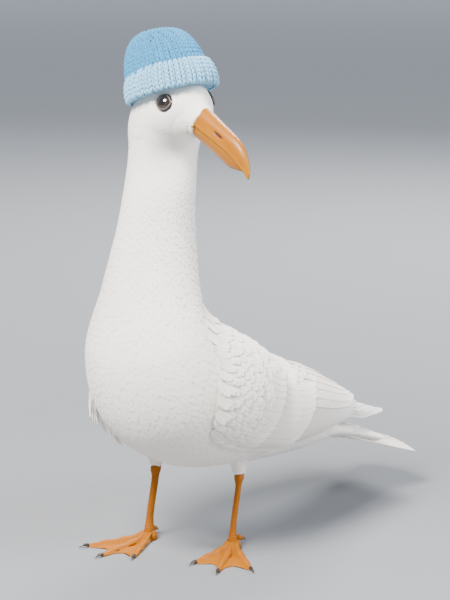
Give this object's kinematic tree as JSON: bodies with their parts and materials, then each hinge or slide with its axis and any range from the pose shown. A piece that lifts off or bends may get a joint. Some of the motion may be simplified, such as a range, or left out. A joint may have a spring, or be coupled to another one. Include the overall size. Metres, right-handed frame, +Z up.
{
  "type": "seagull wearing a knitted beanie",
  "caption": "Life-size white gull standing upright with its head turned to its left, heavy hooked orange bill, webbed orange feet and a blue ribbed knitted beanie.",
  "frame": {"origin": "centre of the bounding box at the level of the soles", "axes": "+Z up, the bird's body faces -Y, +X is the bird's left, where its bill points"},
  "size_m": [0.2044, 0.41, 0.4854],
  "materials": {
    "plumage": "soft off-white feathers",
    "bill": "smooth orange horn, satin",
    "leg": "orange scaly skin",
    "claw": "dark horn",
    "eye": "wet near-black eye",
    "hat_crown": "mid-blue rib-knitted wool",
    "hat_cuff": "light blue rib-knitted wool"
  },
  "bodies": {
    "root": {"bill_lower": "bill", "bill_upper": "bill", "claw_left_1": "claw", "claw_left_2": "claw", "claw_left_3": "claw", "claw_left_hind": "claw", "claw_right_1": "claw", "claw_right_2": "claw", "claw_right_3": "claw", "claw_right_hind": "claw", "eye_left": "eye", "eye_right": "eye", "foot_left": "leg", "foot_right": "leg", "hat_crown": "hat_crown", "hat_cuff": "hat_cuff", "head": "plumage", "hind_toe_left": "leg", "hind_toe_right": "leg", "leg_left": "leg", "leg_right": "leg", "neck": "plumage", "primaries_left": "plumage", "primaries_right": "plumage", "tail": "plumage", "thigh_left": "plumage", "thigh_right": "plumage", "trunk": "plumage", "wing_left": "plumage", "wing_right": "plumage"}
  },
  "joints": []
}
